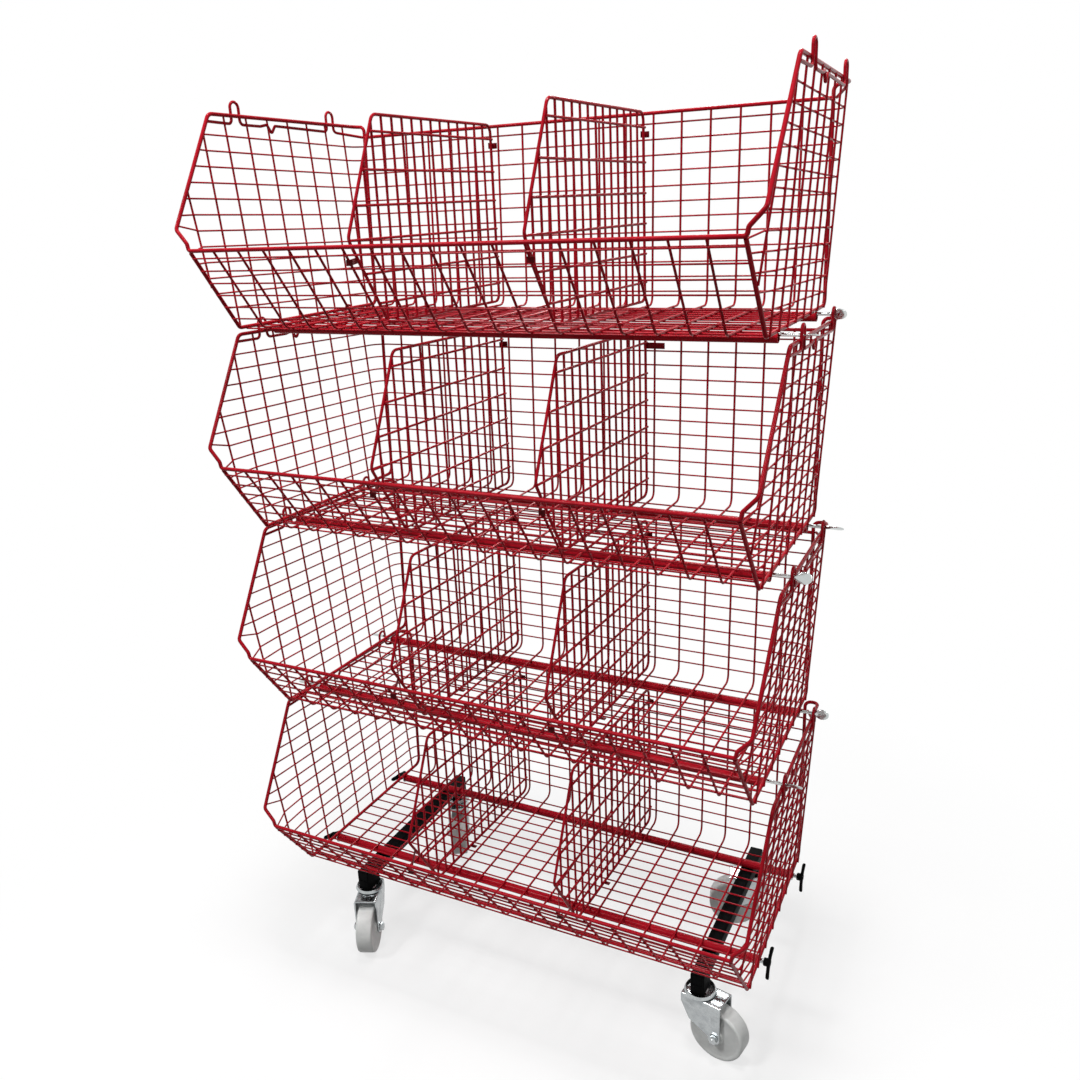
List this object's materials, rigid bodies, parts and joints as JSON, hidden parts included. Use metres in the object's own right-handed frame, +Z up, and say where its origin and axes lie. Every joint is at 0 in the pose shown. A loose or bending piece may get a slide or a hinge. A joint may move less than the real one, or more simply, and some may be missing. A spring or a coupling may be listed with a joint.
{
  "type": "mobile wire basket unit",
  "caption": "Mobile shop display unit of stacked red wire baskets with slanted open fronts, mesh dividers, slide-in locking rods and swivel castors.",
  "frame": {"origin": "centre of the bounding box's base, on the floor under the castors", "axes": "+X to the right along the baskets, seen from the open front; +Y towards the back panels; +Z up"},
  "size_m": [1.01, 0.5164, 1.6179],
  "materials": {
    "red_powder_coat": "glossy red powder coat",
    "bright_chrome": "bright plated rod",
    "black_enamel": "satin black enamel",
    "zinc_plate": "bright zinc plate",
    "white_nylon": "off-white nylon",
    "black_plastic": "moulded black plastic"
  },
  "bodies": {
    "frame": {"basket1_floor": "red_powder_coat", "basket1_lip": "red_powder_coat", "basket1_back": "red_powder_coat", "basket1_left_side": "red_powder_coat", "basket1_right_side": "red_powder_coat", "basket1_left_divider": "red_powder_coat", "basket1_right_divider": "red_powder_coat", "basket2_floor": "red_powder_coat", "basket2_lip": "red_powder_coat", "basket2_back": "red_powder_coat", "basket2_left_side": "red_powder_coat", "basket2_right_side": "red_powder_coat", "basket2_left_divider": "red_powder_coat", "basket2_right_divider": "red_powder_coat", "basket3_floor": "red_powder_coat", "basket3_lip": "red_powder_coat", "basket3_back": "red_powder_coat", "basket3_left_side": "red_powder_coat", "basket3_right_side": "red_powder_coat", "basket3_left_divider": "red_powder_coat", "basket3_right_divider": "red_powder_coat", "basket4_floor": "red_powder_coat", "basket4_lip": "red_powder_coat", "basket4_back": "red_powder_coat", "basket4_left_side": "red_powder_coat", "basket4_right_side": "red_powder_coat", "basket4_left_divider": "red_powder_coat", "basket4_right_divider": "red_powder_coat", "castor_bar_left": "black_enamel", "castor_bar_right": "black_enamel", "castor_front_left_head": "zinc_plate", "castor_front_right_head": "zinc_plate", "castor_back_left_head": "zinc_plate", "castor_back_right_head": "zinc_plate"},
    "castor_front_left": {"castor_front_left_fork": "zinc_plate", "castor_front_left_axle": "zinc_plate"},
    "wheel_front_left": {"castor_front_left_wheel": "white_nylon"},
    "castor_front_right": {"castor_front_right_fork": "zinc_plate", "castor_front_right_axle": "zinc_plate"},
    "wheel_front_right": {"castor_front_right_wheel": "white_nylon"},
    "castor_back_left": {"castor_back_left_fork": "zinc_plate", "castor_back_left_axle": "zinc_plate"},
    "wheel_back_left": {"castor_back_left_wheel": "white_nylon"},
    "castor_back_right": {"castor_back_right_fork": "zinc_plate", "castor_back_right_axle": "zinc_plate"},
    "wheel_back_right": {"castor_back_right_wheel": "white_nylon"},
    "rod1_front": {"locking_rod1_front": "bright_chrome"},
    "rod1_back": {"locking_rod1_back": "bright_chrome"},
    "rod2_front": {"locking_rod2_front": "bright_chrome"},
    "rod2_back": {"locking_rod2_back": "bright_chrome"},
    "rod3_front": {"locking_rod3_front": "bright_chrome"},
    "rod3_back": {"locking_rod3_back": "bright_chrome"},
    "knob_front_left": {"wing_knob_front_left": "black_plastic"},
    "knob_front_right": {"wing_knob_front_right": "black_plastic"},
    "knob_back_left": {"wing_knob_back_left": "black_plastic"},
    "knob_back_right": {"wing_knob_back_right": "black_plastic"}
  },
  "joints": [
    {"name": "swivel_front_left", "type": "hinge", "parent": "frame", "child": "castor_front_left", "pos_m": [-0.342, -0.12587, 0.108], "axis": [0, 0, 1], "continuous": true},
    {"name": "roll_front_left", "type": "hinge", "parent": "castor_front_left", "child": "wheel_front_left", "pos_m": [-0.32715, -0.16084, 0.05], "axis": [0.9205, 0.3907, 0], "continuous": true},
    {"name": "swivel_front_right", "type": "hinge", "parent": "frame", "child": "castor_front_right", "pos_m": [0.362, -0.12587, 0.108], "axis": [0, 0, 1], "continuous": true},
    {"name": "roll_front_right", "type": "hinge", "parent": "castor_front_right", "child": "wheel_front_right", "pos_m": [0.39942, -0.13246, 0.05], "axis": [0.1736, 0.9848, 0], "continuous": true},
    {"name": "swivel_back_left", "type": "hinge", "parent": "frame", "child": "castor_back_left", "pos_m": [-0.342, 0.22414, 0.108], "axis": [0, 0, 1], "continuous": true},
    {"name": "roll_back_left", "type": "hinge", "parent": "castor_back_left", "child": "wheel_back_left", "pos_m": [-0.323, 0.19123, 0.05], "axis": [0.866, 0.5, 0], "continuous": true},
    {"name": "swivel_back_right", "type": "hinge", "parent": "frame", "child": "castor_back_right", "pos_m": [0.362, 0.22414, 0.108], "axis": [0, 0, 1], "continuous": true},
    {"name": "roll_back_right", "type": "hinge", "parent": "castor_back_right", "child": "wheel_back_right", "pos_m": [0.3253, 0.2143, 0.05], "axis": [0.2588, -0.9659, 0], "continuous": true},
    {"name": "rod1_front_slide", "type": "slide", "parent": "frame", "child": "rod1_front", "axis": [1, 0, 0], "range_m": [0, 0.9]},
    {"name": "rod1_back_slide", "type": "slide", "parent": "frame", "child": "rod1_back", "axis": [1, 0, 0], "range_m": [0, 0.9]},
    {"name": "rod2_front_slide", "type": "slide", "parent": "frame", "child": "rod2_front", "axis": [1, 0, 0], "range_m": [0, 0.9]},
    {"name": "rod2_back_slide", "type": "slide", "parent": "frame", "child": "rod2_back", "axis": [1, 0, 0], "range_m": [0, 0.9]},
    {"name": "rod3_front_slide", "type": "slide", "parent": "frame", "child": "rod3_front", "axis": [1, 0, 0], "range_m": [0, 0.9]},
    {"name": "rod3_back_slide", "type": "slide", "parent": "frame", "child": "rod3_back", "axis": [1, 0, 0], "range_m": [0, 0.9]},
    {"name": "knob_front_left_turn", "type": "hinge", "parent": "frame", "child": "knob_front_left", "pos_m": [-0.465, -0.07587, 0.1736], "axis": [1, 0, 0], "continuous": true},
    {"name": "knob_front_right_turn", "type": "hinge", "parent": "frame", "child": "knob_front_right", "pos_m": [0.465, -0.07587, 0.1736], "axis": [1, 0, 0], "continuous": true},
    {"name": "knob_back_left_turn", "type": "hinge", "parent": "frame", "child": "knob_back_left", "pos_m": [-0.465, 0.17414, 0.1736], "axis": [1, 0, 0], "continuous": true},
    {"name": "knob_back_right_turn", "type": "hinge", "parent": "frame", "child": "knob_back_right", "pos_m": [0.465, 0.17414, 0.1736], "axis": [1, 0, 0], "continuous": true}
  ]
}
